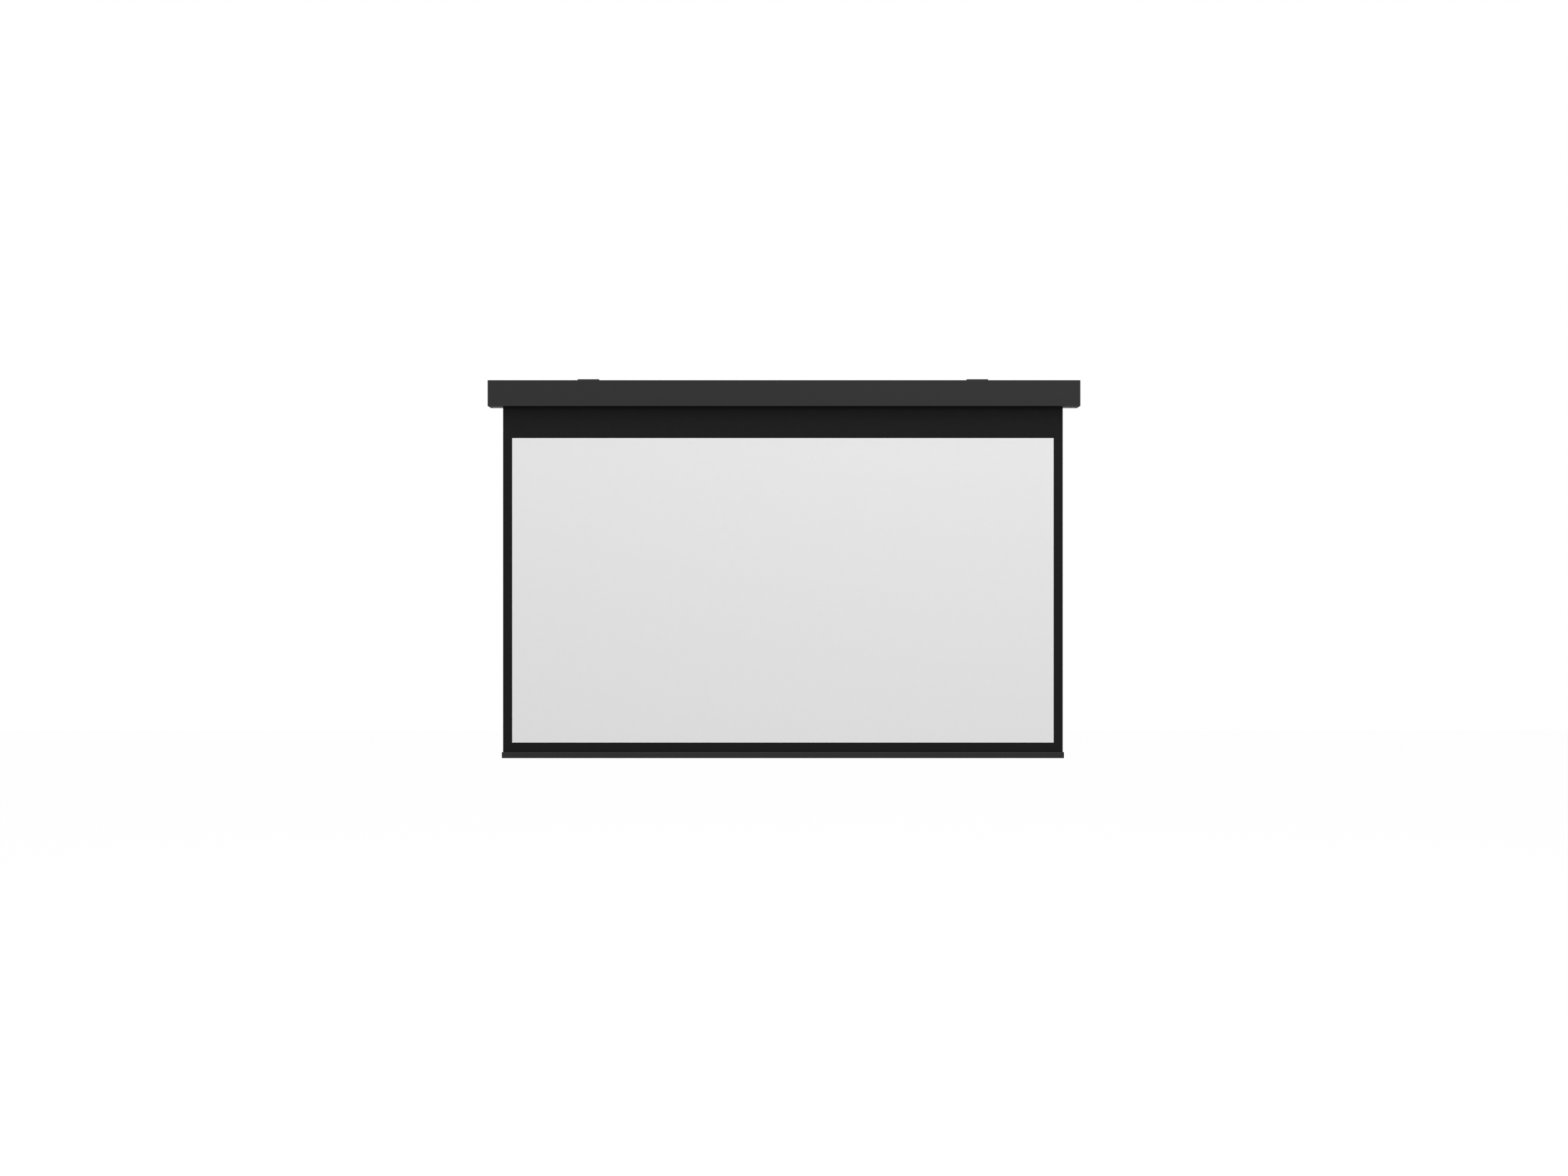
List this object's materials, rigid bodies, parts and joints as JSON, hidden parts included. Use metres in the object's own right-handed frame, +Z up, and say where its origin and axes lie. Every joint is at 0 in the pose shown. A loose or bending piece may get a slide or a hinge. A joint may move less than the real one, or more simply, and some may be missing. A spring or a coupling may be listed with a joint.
{
  "type": "motorized projector screen",
  "caption": "Ceiling or wall case whose motor winds a white wide-format picture with black borders on a roller, held taut by a weighted bottom bar, on sliding hook brackets.",
  "frame": {"origin": "on the ceiling plane, which is the top face of both hanging brackets, above the middle of the case", "axes": "+X to the right seen from the front, along the case; +Y towards the wall; +Z up"},
  "size_m": [2.418, 0.1118, 1.547],
  "materials": {
    "case_finish": "extruded aluminium, fine-textured black powder coat, matt",
    "sheet_finish": "bent steel, fine-textured black powder coat, matt",
    "cap_plastic": "moulded black plastic, fine grain",
    "black_screw": "blackened steel",
    "zinc_steel": "bright zinc plate",
    "bright_steel": "bare drawn steel",
    "raw_aluminium": "mill-finish extrusion with drawing lines",
    "inner_plastic": "moulded black plastic",
    "grey_plastic": "moulded grey plastic",
    "white_plastic": "moulded white plastic",
    "yellow_plastic": "moulded yellow plastic",
    "cable_rubber": "matt black",
    "black_border": "coated cloth with a matt black face and a black back",
    "white_picture": "coated cloth with a matt white face and a black back"
  },
  "bodies": {
    "case": {"case_profile": "case_finish", "bottom_cover": "sheet_finish", "end_cap_left": "cap_plastic", "end_cap_right": "cap_plastic", "cap_screw_left_1": "black_screw", "cap_screw_left_2": "black_screw", "cap_screw_left_3": "black_screw", "cap_screw_left_4": "black_screw", "cap_screw_right_1": "black_screw", "cap_screw_right_2": "black_screw", "cap_screw_right_3": "black_screw", "cap_screw_right_4": "black_screw", "cover_screw_left": "black_screw", "cover_screw_right": "black_screw", "idle_bracket": "zinc_steel", "motor_bracket": "zinc_steel", "idle_screw_front": "zinc_steel", "idle_screw_rear": "zinc_steel", "motor_screw_front": "zinc_steel", "motor_screw_rear": "zinc_steel", "idle_bearing": "white_plastic", "motor_tube": "raw_aluminium", "motor_head": "inner_plastic", "motor_clip": "bright_steel", "motor_lead": "cable_rubber", "terminal_box": "inner_plastic", "terminal_lid": "inner_plastic", "terminal_block": "white_plastic", "cable_grommet": "cable_rubber", "black_drop": "black_border", "viewing_surface": "white_picture", "mask_left": "black_border", "mask_right": "black_border"},
    "roller": {"roller_tube": "raw_aluminium", "crown_ring": "inner_plastic", "drive_wheel": "grey_plastic", "output_shaft": "bright_steel", "idle_plug": "inner_plastic", "idle_pin": "bright_steel", "fabric_spline": "grey_plastic", "fabric_wraps": "black_border"},
    "weight_bar": {"weight_bar_profile": "case_finish", "bar_end_cap_left": "cap_plastic", "bar_end_cap_right": "cap_plastic", "ballast_bar": "bright_steel", "hem_rod": "bright_steel", "mask_bottom": "black_border"},
    "bracket_left": {"bracket_left": "sheet_finish"},
    "bracket_right": {"bracket_right": "sheet_finish"},
    "lock_left": {"bracket_lock_left": "zinc_steel"},
    "lock_right": {"bracket_lock_right": "zinc_steel"},
    "limit_up": {"limit_screw_up": "yellow_plastic"},
    "limit_down": {"limit_screw_down": "white_plastic"}
  },
  "joints": [
    {"name": "screen_lift", "type": "slide", "parent": "case", "child": "weight_bar", "axis": [0, 0, 1], "range_m": [0, 1.411], "deforming": ["black_drop", "viewing_surface", "mask_left", "mask_right"]},
    {"name": "roller_turn", "type": "hinge", "parent": "case", "child": "roller", "pos_m": [0, 0.0017, -0.057], "axis": [-1, 0, 0], "range_deg": [0, 2426]},
    {"name": "bracket_left_slide", "type": "slide", "parent": "case", "child": "bracket_left", "axis": [1, 0, 0], "range_m": [-0.35, 0.7]},
    {"name": "bracket_right_slide", "type": "slide", "parent": "case", "child": "bracket_right", "axis": [1, 0, 0], "range_m": [-0.7, 0.35]},
    {"name": "lock_left_slide", "type": "slide", "parent": "bracket_left", "child": "lock_left", "axis": [0, -1, 0], "range_m": [0, 0.009]},
    {"name": "lock_right_slide", "type": "slide", "parent": "bracket_right", "child": "lock_right", "axis": [0, -1, 0], "range_m": [0, 0.009]},
    {"name": "limit_up_turn", "type": "hinge", "parent": "case", "child": "limit_up", "pos_m": [1.1773, -0.0063, -0.07], "axis": [0, 0, -1], "continuous": true},
    {"name": "limit_down_turn", "type": "hinge", "parent": "case", "child": "limit_down", "pos_m": [1.1773, 0.0097, -0.07], "axis": [0, 0, -1], "continuous": true}
  ],
  "couplings": [
    {"joint": "roller_turn", "follows": "screen_lift", "rad_per_m": 30}
  ]
}
